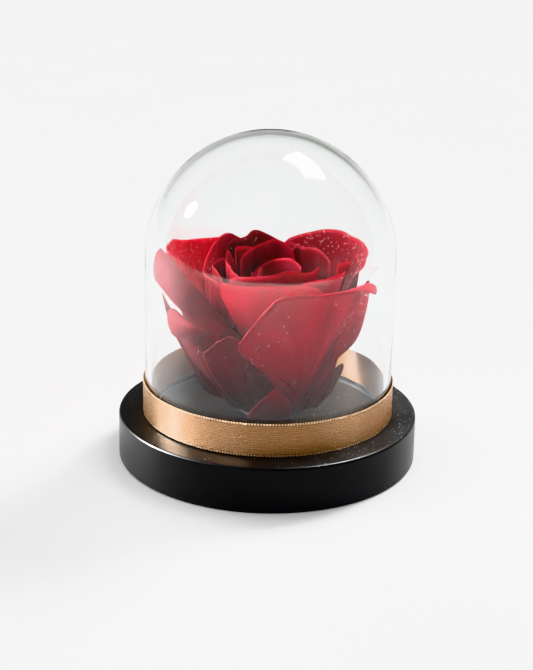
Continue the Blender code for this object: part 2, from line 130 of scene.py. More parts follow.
def combined(tree, operation, *values, clamp=False):
    """What a Math node makes of the values."""
    return shader(tree, "Math", dict(enumerate(values)), operation=operation, use_clamp=clamp).outputs[0]


def ranged(tree, value, low, high, to_low=0.0, to_high=1.0):
    """One range of a value stretched over another, and held inside it."""
    inputs = {"Value": value, "From Min": low, "From Max": high, "To Min": to_low, "To Max": to_high}
    return shader(tree, "MapRange", inputs).outputs["Result"]


def mixed(tree, factor, first, second, **settings):
    """Two colours mixed."""
    inputs = {"Factor": factor, "A": first, "B": second}
    return shader(tree, "Mix", inputs, data_type="RGBA", **settings).outputs["Result"]


def bumped(tree, height, strength, distance):
    """A normal that carries fine relief."""
    inputs = {"Height": height, "Strength": strength, "Distance": distance}
    return shader(tree, "Bump", inputs).outputs["Normal"]


def finish_of(name):
    """A new material, its node tree, and its Principled shader."""
    material = bpy.data.materials.new(name)
    material.use_nodes = True
    return material, material.node_tree, material.node_tree.nodes["Principled BSDF"]


def effect(name, inputs, outputs):
    """A node group for a finish, with its named number or vector sockets."""
    group = bpy.data.node_groups.new(name, "ShaderNodeTree")
    kinds = {"number": "NodeSocketFloat", "vector": "NodeSocketVector"}
    for socket, kind in inputs.items():
        group.interface.new_socket(socket, in_out="INPUT", socket_type=kinds[kind])
    for socket, kind in outputs.items():
        group.interface.new_socket(socket, in_out="OUTPUT", socket_type=kinds[kind])
    return group, group.nodes.new("NodeGroupInput").outputs, group.nodes.new("NodeGroupOutput").inputs


# Settled dust: a grain in some of the cells of a fine Voronoi grid. Amount is the share of cells with one.
dust_inputs = {"Place": "vector", "Per metre": "number", "Amount": "number", "Size": "number"}
dust, dust_in, dust_out = effect("settled dust", dust_inputs, {"Mask": "number"})
cells = shader(dust, "TexVoronoi", {"Vector": dust_in["Place"], "Scale": dust_in["Per metre"]})
luck = shader(dust, "SeparateColor", {"Color": cells.outputs["Color"]})
here = combined(dust, "LESS_THAN", luck.outputs["Red"], dust_in["Amount"])
size = combined(dust, "MULTIPLY", luck.outputs["Green"], dust_in["Size"])
inside = combined(dust, "LESS_THAN", cells.outputs["Distance"], size)
dust.links.new(combined(dust, "MULTIPLY", here, inside), dust_out["Mask"])

groove_floor = BASE_TOP - GROOVE_DEPTH
profile = [(0, BASE_TOP), (GROOVE_INNER_RADIUS * 0.5, BASE_TOP)]
profile += arc((GROOVE_INNER_RADIUS - GROOVE_LIP, BASE_TOP - GROOVE_LIP), GROOVE_LIP, 90, 0, 4)
profile += [(GROOVE_INNER_RADIUS, groove_floor), (GROOVE_OUTER_RADIUS, groove_floor)]
profile += arc((GROOVE_OUTER_RADIUS + GROOVE_LIP, BASE_TOP - GROOVE_LIP), GROOVE_LIP, 180, 90, 4)
profile += arc((BASE_RADIUS - BASE_EDGE_ROUND, BASE_TOP - BASE_EDGE_ROUND), BASE_EDGE_ROUND, 90, 0, 8)
profile += arc((BASE_RADIUS - BASE_EDGE_ROUND, BASE_EDGE_ROUND), BASE_EDGE_ROUND, 0, -90, 8)
profile.append((0, 0))
lacquered_base = turned("lacquered_base", profile, BASE_STEPS)

lacquer, tree, skin = finish_of("satin black lacquer")
place = object_place(tree)
mottle = cloudy(tree, place, 90.0, 4.0)
peel = cloudy(tree, place, 1900.0)
facing_up = axis_of(tree, shader(tree, "NewGeometry").outputs["Normal"], "Z")
# Painted sheen: the haze and the dust grow towards the right, where the haze lightens the lacquer for its
# sheen.
settled = ranged(tree, facing_up, 0.7, 0.95, 0.0, DUSTED_SHARE)
dust_and_sheen_rightward = ranged(tree, axis_of(tree, place, "X"), -10 * MM, 40 * MM, *DUST_AND_SHEEN_FROM_LEFT_TO_RIGHT)
settled = combined(tree, "MULTIPLY", settled, dust_and_sheen_rightward)
grains = {"Place": place, "Per metre": DUST_CELLS_A_METRE, "Amount": settled, "Size": 0.3}
grains = shader(tree, "Group", grains, node_tree=dust).outputs["Mask"]
haze_and_sheen = mixed(tree, combined(tree, "MULTIPLY", settled, mottle), LACQUER_BLACK, HAZE_AND_SHEEN_GREY)
fill(tree, skin, {
    "Base Color": mixed(tree, grains, haze_and_sheen, DUST_GREY),
    "Roughness": ranged(tree, mottle, 0.0, 1.0, 0.28, 0.4),
    "Normal": bumped(tree, peel, 0.12, 0.04 * MM),
    "Specular IOR Level": 0.22,
    "Coat Weight": 0.04,
    "Coat Roughness": 0.16,
})
lacquered_base.data.materials.append(lacquer)
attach(lacquered_base, "root")
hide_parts("base")


# The receptacle: the dried, woody heart of the bloom that carries every petal, glued to the base. Only its
# foot shows between the petals.
def ramp(tree, factor, dark, light, dark_at=0.0, light_at=1.0):
    """Colours that change from dark to light with the factor."""
    made = shader(tree, "ValToRGB", {"Fac": factor})
    for stop, (at, colour) in zip(made.color_ramp.elements, ((dark_at, dark), (light_at, light))):
        stop.position = at
        stop.color = colour
    return made.outputs["Color"]


dry_wood, tree, skin = finish_of("dried receptacle")
fibres = cloudy(tree, object_place(tree), 600.0, 6.0)
fill(tree, skin, {
    "Base Color": ramp(tree, fibres, (0.02, 0.012, 0.006, 1), (0.07, 0.045, 0.02, 1)),
    "Normal": bumped(tree, fibres, 0.6, 0.3 * MM),
    "Roughness": 0.85,
})
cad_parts["receptacle"].data.materials.clear()
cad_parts["receptacle"].data.materials.append(dry_wood)


# The bloom: one preserved rose head. Its petals are thin, velvety and dyed deep red, and each is a fan from
# its foot on the receptacle to a finer, wavier margin. They are set one inside the next, the outermost first.
# Lengths in this section are millimetres, and heights are above the base.
OUTER_CUP = [(0.6, 11), (2.2, 16), (8, 19.9), (20, 26), (32, 30.3), (42, 32.4), (52, 33.4)]
CUP_AXIS_RADIUS = 0.9
CUP_SAMPLES = 120
OUTER_FOOT = (10.6, 0.9)
HEART_FOOT = (1.3, 9.2)
PETAL_THICKNESS = 0.42
PETAL_SPACING = 1.05
PETAL_ROOM = 34.4
LEAST_RADIUS = 0.45
BELLY = 3.2
FANNING = (0.7, 0.7)
COLUMNS_A_POINT = 6
ROWS = 36
ROLL_ROWS = 14
ROLL_LEAST = 0.04
DRAPED = (75, 120, 150, 175)
FOLDED = (90, 155, 174, 180)
LIP = (50, 115)
WAVE_LENGTH = 5.5
WAVES_UP = 1.6
WAVE_HEIGHT_ALL_OVER = 0.1
WAVE_HEIGHT_AT_MARGIN = 0.42
RIM_ROWS = 3
SHADED_FOOT_SHARE = 0.26
VEIN_LENGTH = 40

PETALS = [
    {
        "name": "low_front_petal",
        "foot": (0, 14),
        "rim": [(-21, 3.6, 16.6), (-16, 6, 18.4), (-8, 9.6, 20.4), (0, 13.2, 22.2), (5.5, 15.8, 23.4),
                (10, 14.2, 22.6), (16, 11.4, 21.2), (21, 8, 19.4), (24, 3, 16.2)],
    },
    {
        "name": "front_right_petal",
        "foot": (22, 14),
        "fanning": (1.2, 3.9),
        "rim": [(25, 9, 20.6), (17, 15, 23), (8, 18.6, 24.3), (-5, 23, 25.5), (-14, 26, 26.5),
                (-17.5, 29.2, 27.8), (-12, 34, 29.3), (-2, 41.6, 31), (7, 46, 31.6), (26, 45.8, 31.5),
                (44, 45.6, 31.4), (55, 45.6, 31.5), (64, 44.8, 31)],
        "roll": (DRAPED, [(0.78, 0), (0.88, 1.6), (1, 5)]),
    },
    {
        "name": "slim_side_petal",
        "foot": (46, 8),
        "rim": [(38, 16, 23), (37.5, 24, 25.8), (39, 31, 27.8), (43, 35.2, 28.7), (44.8, 33.4, 28.9),
                (46, 30.4, 28.6), (47, 26.4, 27.4), (49.3, 21.8, 25.9), (51.6, 16, 23.6), (53, 10, 21)],
    },
    {
        "name": "side_right_petal",
        "foot": (88, 20),
        "rim": [(60, 5, 17.4), (68, 10, 20.6), (78, 13.6, 22.3), (90, 14.8, 22.6), (102, 12.6, 21.8),
                (112, 5, 17.6)],
    },
    {
        "name": "low_left_front_petal",
        "foot": (-32, 18),
        "rim": [(-41, 10, 19.6), (-45, 16, 22.8), (-47, 21.5, 25.6), (-48, 25.6, 27.8), (-44, 26.6, 27.9),
                (-41, 25.2, 27.7), (-36, 27, 27.9), (-30, 30, 28.4), (-24, 31.7, 28.8), (-18.5, 31, 28.7),
                (-15.5, 27, 27.4), (-14.5, 20, 24.8)],
        "roll": (LIP, [(0.2, 0), (0.3, 0.6), (0.6, 0.8), (0.85, 0.6), (0.95, 0)]),
    },
    {
        "name": "low_middle_petal",
        "foot": (2, 22),
        "rim": [(-24, 9, 19.6), (-22, 16, 22.8), (-19, 22, 25.4), (-14, 20.8, 24.8), (-7, 19.2, 24.2),
                (0, 18.2, 23.8), (4, 16.5, 23), (10, 14.2, 22), (16, 11.6, 20.8), (22, 7.6, 18.8),
                (27, 4, 16.4)],
    },
    {
        "name": "low_right_front_petal",
        "foot": (20, 24),
        "rim": [(-20, 17, 23), (-18, 22, 25.2), (-14.5, 25.8, 26.4), (-6, 26, 26), (8, 25, 25.6),
                (22, 23.5, 25.2), (36, 20, 24.4), (48, 12, 21), (54, 5, 17)],
    },
    {
        "name": "far_left_petal",
        "foot": (-98, 20),
        "rim": [(-118, 10, 20.4), (-112, 18, 25), (-104, 26, 28.8), (-98, 32, 31.3), (-94, 35.2, 32.3),
                (-91, 35.2, 32.2), (-89, 31, 30.9), (-87, 24, 27.9), (-83, 16, 24), (-78, 9, 20.4)],
    },
    {
        "name": "low_left_petal",
        "foot": (-60, 20),
        "rim": [(-81, 12, 21.6), (-80, 22, 25.6), (-79, 29.5, 28.6), (-76.5, 33.4, 29.4), (-70, 34.1, 28.8),
                (-61, 34, 28.5), (-52, 33.5, 28.5), (-44, 32.4, 28.5), (-38, 30.5, 28.2), (-34, 25, 26.6)],
        "roll": (FOLDED, [(0.28, 0), (0.36, 4), (0.45, 8), (0.56, 8.5), (0.67, 6), (0.78, 2.5), (0.9, 0)]),
    },
    {
        "name": "low_right_petal",
        "foot": (82, 26),
        "belly": 5.5,
        "bulge": 1.6,
        "rim": [(50, 14, 22.8), (49, 25, 27.4), (52, 32, 29.2), (60, 38, 29.4), (70, 41, 29.4),
                (82, 41.4, 29), (94, 40.6, 29.4), (106, 36.6, 29.8), (115, 28, 29), (120, 13, 23.4)],
    },
    {
        "name": "low_back_left_petal",
        "foot": (-152, 22),
        "rim": [(-180, 10, 20.4), (-178, 22, 26), (-171, 30, 29), (-158, 34, 30.2), (-145, 33, 29.8),
                (-134, 27, 28), (-129, 16, 23.6)],
        "roll": (LIP, [(0.1, 0), (0.3, 1.3), (0.7, 1.3), (0.9, 0)]),
    },
    {
        "name": "low_back_petal",
        "foot": (172, 22),
        "rim": [(150, 15, 22.8), (154, 27, 28), (166, 34, 30.2), (180, 35, 30.4), (192, 30, 29),
                (200, 20, 25.4), (200, 8, 19.4)],
        "roll": (LIP, [(0.1, 0), (0.3, 1.3), (0.6, 1.3), (0.8, 0)]),
    },
    {
        "name": "low_back_right_petal",
        "foot": (132, 22),
        "rim": [(110, 10, 20.4), (110, 22, 26), (116, 31, 29.4), (128, 36.5, 30.8), (141, 35, 30.4),
                (150, 27, 28), (153, 15, 23)],
        "roll": (LIP, [(0.1, 0), (0.3, 1.3), (0.7, 1.3), (0.9, 0)]),
    },
    {
        "name": "left_petal",
        "foot": (-62, 22),
        "rim": [(-92, 26, 27), (-92, 36, 29.8), (-91, 45.5, 31.8), (-88, 49.8, 32.3), (-82, 50.3, 31.6),
                (-70, 49.8, 30.1), (-56, 47.6, 29.6), (-44, 43.4, 29.2), (-36, 37.3, 28.4), (-28, 33, 27.3),
                (-20, 28.9, 25.9), (-17, 23, 24.2)],
        "roll": (DRAPED, [(0.3, 0), (0.38, 5), (0.46, 8.5), (0.56, 9.5),
                 (0.65, 9.5), (0.74, 8), (0.83, 6.5), (0.93, 2), (1, 0)]),
    },
    {
        "name": "back_petal",
        "foot": (184, 30),
        "rim": [(146, 22, 26), (146, 32, 29), (156, 39, 30.6), (170, 41.6, 31), (186, 42.6, 31.2),
                (202, 41.6, 31), (214, 37, 30), (220, 28, 28), (219, 20, 25.6)],
    },
    {
        "name": "back_left_petal",
        "foot": (-122, 30),
        "rim": [(-170, 28, 26.6), (-168, 38, 28.6), (-161, 44.5, 29.4), (-150, 46.2, 29.6),
                (-138, 46.8, 29.8), (-125, 47.7, 30), (-115, 48.8, 30.4), (-107, 50.1, 30.9),
                (-101, 49.9, 31.2), (-95, 49.2, 31.9), (-86, 47.4, 31.2), (-76, 44, 30.2),
                (-66, 39.5, 28.8), (-58, 33, 27)],
    },
    {
        "name": "back_right_petal",
        "foot": (110, 32),
        "rim": [(60, 38, 29.4), (64, 44, 29.6), (72, 46.6, 28.7), (82, 48.6, 28.3), (92, 49.6, 28.8),
                (104, 50.2, 29.6), (114, 50.4, 29.3), (124, 50.2, 29.6), (135, 50.5, 30), (146, 49.7, 30),
                (156, 48, 29.9), (163, 46.7, 29.8), (170, 44.8, 29.6), (174, 41, 29), (178, 30, 26.8)],
    },
    {
        "name": "front_petal",
        "foot": (-2, 22),
        "rim": [(-18, 23, 21.6), (-22, 28, 22.8), (-28.5, 34.7, 24.4), (-31.3, 41.5, 26.2),
                (-31.5, 45.4, 26.9), (-29, 47.3, 27.1), (-20, 47.2, 27.3), (-5, 47.4, 27.2),
                (10, 47.8, 27.2), (22, 47.3, 27.2), (32, 45.5, 27), (38, 43.5, 26.4), (44, 38, 25.4),
                (47, 29, 23.6)],
    },
    {
        "name": "right_petal",
        "foot": (62, 22),
        "rim": [(12, 36, 23.6), (15, 44, 24.8), (20, 46.7, 25.2), (27, 47.9, 25.4), (38, 48, 25.5),
                (48, 48.3, 25.8), (56, 48.3, 26.4), (58, 44, 26), (57, 37, 24.8), (54, 30, 23.4)],
    },
    {
        "name": "left_inner_petal",
        "foot": (-96, 32),
        "rim": [(-162, 34, 20.8), (-158, 45, 22), (-150, 48.4, 22.4), (-143, 49.3, 22.2), (-136, 49, 21.6),
                (-126, 47.8, 20.7), (-116, 46.6, 20), (-105, 45.2, 19.6), (-94, 43.9, 19.4),
                (-82, 43.4, 19.5), (-70, 43.8, 19.8), (-58, 44.4, 20.6), (-46, 44.7, 21.4), (-36, 43, 21.6),
                (-31, 36, 20.6)],
        "roll": (LIP, [(0.6, 0), (0.7, 0.9), (0.8, 1.1), (0.9, 0.8), (0.96, 0)]),
    },
    {
        "name": "right_inner_petal",
        "foot": (82, 28),
        "rim": [(47, 30, 20.6), (50, 40, 21.6), (57, 45.6, 21.8), (66, 47, 21), (75, 47.4, 20.5),
                (84, 47.4, 22.3), (91, 46.8, 24.8), (97, 45.4, 27), (104, 40, 27), (110, 31, 25)],
    },
    {
        "name": "back_inner_petal",
        "foot": (184, 28),
        "rim": [(138, 30, 20.6), (142, 39, 21.4), (152, 44.8, 22), (161, 46.2, 22), (170, 46.2, 22),
                (177, 47.4, 22), (184, 48.8, 22), (190, 49.8, 22.1), (195, 49.8, 22.2), (200, 48.6, 22.2),
                (206, 48, 22.1), (216, 47.8, 22.1), (225, 45, 21.8), (230, 37, 21)],
    },
    {
        "name": "front_inner_petal",
        "foot": (6, 26),
        "rim": [(-28, 34, 20.2), (-24, 42, 21.4), (-16, 45.2, 21.8), (-6, 46, 21.8), (6, 46, 21.6),
                (20, 45.6, 21.4), (34, 44.6, 21.4), (42, 37, 21)],
    },
    {
        "name": "pointed_petal",
        "foot": (-84, 20),
        "rim": [(-116, 38, 13), (-106, 45.6, 14), (-95, 46.3, 15.2), (-84, 45.7, 17), (-74, 45.5, 17),
                (-65, 45.2, 17), (-57, 44.6, 17.2), (-51, 42.6, 17.2), (-48, 36, 16.4)],
    },
    {
        "name": "front_swirl_petal",
        "foot": (4, 30),
        "rim": [(-52, 34, 15), (-48, 43, 16), (-40, 45.2, 16.6), (-33, 46, 17), (-20, 46.7, 17),
                (-7, 47.3, 17), (5, 47.9, 17), (14, 48.7, 17), (24, 48.4, 17), (34, 47.7, 17),
                (44, 47.4, 17), (55, 48, 17), (49, 45, 16.4), (44, 38, 15.8), (40, 30, 15)],
    },
    {
        "name": "right_swirl_petal",
        "foot": (116, 28),
        "rim": [(84, 34, 16.6), (88, 41, 17.4), (95, 45, 17.9), (104, 46.3, 18), (113, 47.2, 17.6),
                (123, 47.9, 17), (134, 47.8, 16.4), (144, 47.2, 16.2), (150, 48, 16.4), (157, 45, 16),
                (163, 36, 14.8)],
    },
    {
        "name": "back_left_swirl_petal",
        "foot": (-150, 22),
        "rim": [(-180, 34, 14.4), (-176, 42, 14.6), (-169, 46.4, 14.2), (-155, 47.1, 13.7),
                (-146, 47.7, 13.5), (-136, 48.1, 13.4), (-128, 48.4, 13.2), (-123, 47.4, 12.9),
                (-122, 43, 12.4), (-122, 34, 11.8)],
    },
    {
        "name": "left_swirl_petal",
        "foot": (-72, 26),
        "rim": [(-120, 36, 11.6), (-115, 45, 12.4), (-102, 48.9, 12.8), (-90, 48.5, 12.9),
                (-76, 47.7, 13.3), (-60, 47.1, 13.9), (-48, 46.4, 14.8), (-36, 45.6, 15.9), (-27, 43, 16),
                (-23, 35, 15)],
    },
    {
        "name": "long_swirl_petal",
        "foot": (-120, 36),
        "rim": [(-216, 36, 13.2), (-211, 44, 14.2), (-200, 47.4, 14.8), (-186, 49, 15), (-176, 48.6, 14.5),
                (-164, 48.2, 12.8), (-152, 47.7, 11.3), (-136, 47.2, 10.2), (-112, 46.6, 9.3),
                (-88, 45.6, 8.9), (-68, 44.2, 9.2), (-50, 41, 10.6), (-38, 35, 11.8)],
    },
    {
        "name": "low_heart_petal",
        "foot": (60, 34),
        "rim": [(-18, 31, 11.4), (-6, 40, 12.2), (30, 42, 12.8), (70, 42.2, 12.6), (106, 40, 12.2),
                (128, 31, 11)],
    },
    {
        "name": "heart_back_petal",
        "foot": (150, 34),
        "rim": [(44, 32, 7), (52, 39, 8), (66, 43, 8.6), (86, 44.5, 8.9), (106, 44.8, 8.8),
                (122, 45.4, 8.6), (135, 45.7, 8.4), (150, 45.4, 8.3), (171, 44.6, 8.2), (188, 43.9, 8),
                (202, 43, 7.8), (220, 41.6, 7.3), (238, 38.5, 6.8), (250, 32, 6.2)],
    },
    {
        "name": "heart_tip_petal",
        "foot": (-26, 14),
        "rim": [(-46, 32, 6.2), (-38, 40, 6.9), (-29, 44.6, 7.2), (-23, 46.6, 7.4), (-15, 45.6, 7.4),
                (-9, 40, 7), (-4, 32, 6.4)],
    },
    {
        "name": "heart_left_petal",
        "foot": (-100, 44),
        "rim": [(-170, 30, 4.8), (-155, 38, 5.2), (-120, 42, 5.5), (-80, 42.5, 5.5), (-45, 39, 5.2),
                (-30, 31, 4.8)],
    },
    {
        "name": "heart_right_petal",
        "foot": (80, 46),
        "rim": [(0, 30, 3.6), (20, 38, 4.1), (60, 43, 4.3), (100, 43.4, 4.3), (140, 39, 4.1),
                (158, 31, 3.6)],
    },
    {
        "name": "bud_petal",
        "foot": (-80, 30),
        "rim": [(-170, 30, 2.2), (-140, 37, 2.5), (-80, 41, 2.7), (-20, 41, 2.7), (30, 38, 2.5),
                (55, 30, 2.2)],
    },
]

# The room left for the petals: how far out the next one may reach, in cells of azimuth and of height
AZIMUTH_CELLS = 720
HEIGHT_CELLS = 260
CELL_HEIGHT = 0.25
EASING_ROUNDS = 14


def smooth_curve(points, count):
    """A Catmull-Rom curve through the points, as count + 1 points evenly spaced in its parameter."""
    points = [np.array(p, dtype=float) for p in points]
    through = [2 * points[0] - points[1], *points, 2 * points[-1] - points[-2]]
    found = []
    for i in range(count + 1):
        at = (len(points) - 1) * i / count
        k = min(int(at), len(points) - 2)
        t = at - k
        a, b, c, d = through[k : k + 4]
        bend = (2 * a - 5 * b + 4 * c - d) * t**2 + (3 * b - a - 3 * c + d) * t**3
        found.append(0.5 * (2 * b + (c - a) * t + bend))
    return np.array(found)


cup_curve = smooth_curve(OUTER_CUP, CUP_SAMPLES)


def cup_radius(layer, height):
    """Radius of a nested cup at a height: layer 0 is the rose's axis and 1 its outermost cup."""
    outer = np.interp(height, cup_curve[:, 0], cup_curve[:, 1])
    return CUP_AXIS_RADIUS + layer * (outer - CUP_AXIS_RADIUS)


def layer_of(radius, height):
    return (radius - CUP_AXIS_RADIUS) / (cup_radius(1, height) - CUP_AXIS_RADIUS)


def petal_cage(petal, share):
    """Rows of (azimuth, height, radius) from foot to rim. share is 1 outermost and 0 at the heart."""
    foot_radius = HEART_FOOT[0] + (OUTER_FOOT[0] - HEART_FOOT[0]) * share
    foot_height = HEART_FOOT[1] + (OUTER_FOOT[1] - HEART_FOOT[1]) * share
    centre, half_width = petal["foot"]
    rim = smooth_curve(petal["rim"], (len(petal["rim"]) - 1) * COLUMNS_A_POINT)
    up = np.linspace(0, 1, ROWS + 1)[:, None]
    start = centre + half_width * np.linspace(-1, 1, len(rim))
    fanning = np.linspace(*petal.get("fanning", FANNING), len(rim))
    azimuth = start + (rim[:, 0] - start) * up**fanning
    height = foot_height + (rim[:, 1] - foot_height) * up
    foot_layer = layer_of(foot_radius, foot_height)
    rim_layer = layer_of(rim[:, 2], rim[:, 1])
    opened = 1 - (1 - up) ** petal.get("belly", BELLY)
    layer = foot_layer + (rim_layer - foot_layer) * opened
    radius = cup_radius(layer, height) + petal.get("bulge", 0) * np.sin(math.pi * up)
    return np.stack([azimuth, height, radius], axis=-1)


def room_at(room, azimuth, height):
    """The room left at each point, read between the cells."""
    x = azimuth % 360 / 360 * AZIMUTH_CELLS
    y = np.clip(height / CELL_HEIGHT, 0, HEIGHT_CELLS - 1.001)
    i, j = x.astype(int), y.astype(int)
    x, y = x - i, y - j
    i, after = i % AZIMUTH_CELLS, (i + 1) % AZIMUTH_CELLS
    low = room[i, j] * (1 - x) + room[after, j] * x
    high = room[i, j + 1] * (1 - x) + room[after, j + 1] * x
    return low * (1 - y) + high * y


def refined(cage, detail):
    """The cage's flat faces sampled more finely."""
    for axis in (0, 1):
        count = cage.shape[axis] - 1
        at = np.linspace(0, count, count * detail + 1)
        k = np.minimum(at.astype(int), count - 1)
        t = (at - k).reshape((-1, 1, 1) if axis == 0 else (1, -1, 1))
        cage = np.take(cage, k, axis) * (1 - t) + np.take(cage, k + 1, axis) * t
    return cage


def take_room(room, cage):
    """Lowers the room to the inside of a petal that has been laid, and a little past its edges."""
    fine = refined(cage, 5).reshape(-1, 3)
    i = np.rint(fine[:, 0] % 360 / 360 * AZIMUTH_CELLS).astype(int) % AZIMUTH_CELLS
    j = np.rint(np.clip(fine[:, 1] / CELL_HEIGHT, 0, HEIGHT_CELLS - 1)).astype(int)
    taken = room.copy()
    np.minimum.at(taken, (i, j), fine[:, 2])
    spread = taken
    for step in (1, 2, 4):
        spread = np.min([np.roll(spread, step, 0), spread, np.roll(spread, -step, 0)], axis=0)
    for _ in range(3):
        spread[:, 1:-1] = np.min([spread[:, :-2], spread[:, 1:-1], spread[:, 2:]], axis=0)
    for _ in range(6):
        spread = (np.roll(spread, 1, 0) + 2 * spread + np.roll(spread, -1, 0)) / 4
    return np.minimum(taken, spread)


def eased(push):
    """A petal's inward push, spread past where it is needed, so that the petal bends and doesn't crease."""
    for _ in range(EASING_ROUNDS):
        soft = push.copy()
        soft[1:-1] = (push[:-2] + 2 * push[1:-1] + push[2:]) / 4
        soft[:, 1:-1] = (soft[:, :-2] + 2 * soft[:, 1:-1] + soft[:, 2:]) / 4
        push = np.maximum(push, soft)
    return push


def in_space(cage):
    """The cage's points in millimetres, as an array of (x, y, z)."""
    turn = np.radians(cage[..., 0])
    x = cage[..., 2] * np.sin(turn)
    y = -cage[..., 2] * np.cos(turn)
    return np.stack([x, y, BASE_TOP / MM + cage[..., 1]], axis=-1)


def unit(vectors):
    return vectors / np.maximum(np.linalg.norm(vectors, axis=-1, keepdims=True), 1e-9)


def outward(points):
    """Unit normals of a grid of points, on its outer side."""
    return unit(np.cross(np.gradient(points, axis=1), np.gradient(points, axis=0)))


def lengths_along(points):
    """How far each point of a line lies from its first."""
    return np.concatenate([[0], np.cumsum(np.linalg.norm(np.diff(points, axis=0), axis=-1))])


def rolled(points, leans, profile):
    """Adds rows that turn the rim outward, lean over and then hang. Each lean is an angle in degrees."""
    rim, below = points[-1], points[-2]
    along = unit(rim - below)
    out = unit(np.cross(unit(np.gradient(rim, axis=0)), along))
    lengths = np.interp(np.linspace(0, 1, len(rim)), *zip(*profile))
    for _ in range(COLUMNS_A_POINT):
        lengths[1:-1] = (lengths[:-2] + 2 * lengths[1:-1] + lengths[2:]) / 4
    steps = np.maximum(lengths / ROLL_ROWS, ROLL_LEAST)[:, None]
    rows = [points]
    reached = rim
    for k in range(ROLL_ROWS):
        at = (k + 0.5) / ROLL_ROWS * len(leans) - 0.5
        lean = math.radians(np.interp(at, range(len(leans)), leans))
        reached = reached + (along * math.cos(lean) + out * math.sin(lean)) * steps
        rows.append(reached[None])
    return np.concatenate(rows)


def wavy(points, seed):
    """Small waves that grow towards the margin, and a slight unevenness all over."""
    rows, columns = points.shape[:2]
    v = np.linspace(0, 1, rows)[:, None]
    edge = np.minimum(np.linspace(0, 1, columns), np.linspace(1, 0, columns))[None]
    margin = np.maximum(v**5, 0.6 * np.exp(-edge * columns / 5) * v)
    girth = lengths_along(points[-1])
    shift = np.zeros((rows, columns))
    for i in range(rows):
        for j in range(columns):
            place = Vector((girth[j] / WAVE_LENGTH, v[i, 0] * WAVES_UP, seed * 7.3))
            height = WAVE_HEIGHT_ALL_OVER + WAVE_HEIGHT_AT_MARGIN * margin[i, j]
            shift[i, j] = noise.noise(place) * height
    return points + outward(points) * shift[..., None]


def petal_piece(name, points, tone, crowding):
    """One petal as a thin shell of its grid of points, thinner at its margin."""
    rows, columns = points.shape[:2]
    faces = [
        (i * columns + j, i * columns + j + 1, (i + 1) * columns + j + 1, (i + 1) * columns + j)
        for i in range(rows - 1)
        for j in range(columns - 1)
    ]
    mesh = bpy.data.meshes.new(name)
    mesh.from_pydata((points.reshape(-1, 3) * MM).tolist(), [], faces)
    mesh.shade_smooth()
    from_side = np.minimum(np.arange(columns), np.arange(columns)[::-1])[None] / COLUMNS_A_POINT
    from_top = (rows - 1 - np.arange(rows))[:, None]
    rim = np.clip(1 - np.minimum(from_side * 2, from_top / RIM_ROWS), 0, 1).reshape(-1)
    # Painted shade: how much a crowded inner petal is darkened towards its foot.
    deep = np.clip(from_top / (SHADED_FOOT_SHARE * rows), 0, 1) * crowding
    marks = {
        "rim": rim,
        "tone": np.full(rows * columns, tone),
        "deep": np.repeat(deep.reshape(-1), columns),
    }
    for mark, values in marks.items():
        mesh.attributes.new(mark, "FLOAT", "POINT").data.foreach_set("value", values)
    across = lengths_along(points[rows // 2])
    upward = np.linspace(0, 1, rows) * VEIN_LENGTH
    uv = mesh.uv_layers.new(name="petal").data
    for face in mesh.polygons:
        for loop in face.loop_indices:
            i, j = divmod(mesh.loops[loop].vertex_index, columns)
            uv[loop].uv = (across[j], upward[i])
    piece = placed(name, mesh)
    body = piece.vertex_groups.new(name="body")
    for index, value in enumerate(rim):
        body.add([index], 1 - float(value), "REPLACE")
    shell = piece.modifiers.new("Thickness", "SOLIDIFY")
    shell.thickness = PETAL_THICKNESS * MM
    shell.offset = 0
    shell.vertex_group = "body"
    shell.thickness_vertex_group = 0.25
    return piece


# The petals' finish: dyed red and velvety, with fine lengthwise veins and a brighter margin, and painted
# shade that darkens it towards the foot and in the crowded inner petals
petal_velvet, tree, skin = finish_of("preserved petal")
veins_at = shader(tree, "UVMap", uv_map="petal").outputs["UV"]
rim_mark, tone_mark, crevice_shade_mark = (
    shader(tree, "Attribute", attribute_name=name).outputs["Fac"] for name in ("rim", "tone", "deep")
)
place = object_place(tree)
level = axis_of(tree, place, "Z")
# Painted shade: the red darkens towards the foot, where the bloom's own head shades it.
painted_shade_by_height = ranged(tree, level, BASE_TOP, BASE_TOP + 34 * MM)
body = mixed(tree, painted_shade_by_height, (0.042, 0.0005, 0.0013, 1), (0.52, 0.005, 0.028, 1))
clear_of_foot = ranged(tree, level, BASE_TOP + 5 * MM, BASE_TOP + 16 * MM)
stretched = shader(tree, "Mapping", {"Vector": veins_at, "Scale": (0.8, 0.06, 1)}).outputs["Vector"]
veins = combined(tree, "MULTIPLY", cloudy(tree, stretched, 1.0, 3.0), clear_of_foot)
uneven = combined(tree, "ADD", veins, cloudy(tree, place, 130.0, 3.0))
uneven = ranged(tree, uneven, 0.75, 1.2, 0.0, 0.5)
toned = mixed(tree, uneven, body, (0.2, 0.0012, 0.004, 1))
# Painted light and shade: each petal's red is scaled by its tone.
toned = mixed(tree, 1.0, toned, tone_mark, blend_type="MULTIPLY")
# Painted shade: crowded inner petals darken to near black towards their feet.
toned = mixed(tree, combined(tree, "MULTIPLY", crevice_shade_mark, 0.85), toned, (0.02, 0.0003, 0.0012, 1))
folded = shader(tree, "Mapping", {"Vector": veins_at, "Scale": (0.2, 0.03, 1)}).outputs["Vector"]
folds = cloudy(tree, folded, 1.0, 1.5, 0.6)
relief = combined(tree, "MULTIPLY_ADD", veins, 0.1, folds)
fill(tree, skin, {
    "Base Color": mixed(tree, ranged(tree, rim_mark, 0.5, 1.0, 0.0, 0.3), toned, body),
    "Normal": bumped(tree, relief, combined(tree, "MULTIPLY", clear_of_foot, 0.75), 2 * MM),
    "Roughness": 0.68,
    "Specular IOR Level": 0.06,
    "Sheen Weight": 0.04,
    "Sheen Roughness": 0.35,
    "Sheen Tint": (1, 0.25, 0.3, 1),
    "Subsurface Weight": 0.15,
    "Subsurface Scale": 0.8 * MM,
    "Subsurface Radius": (1, 0.15, 0.1),
})
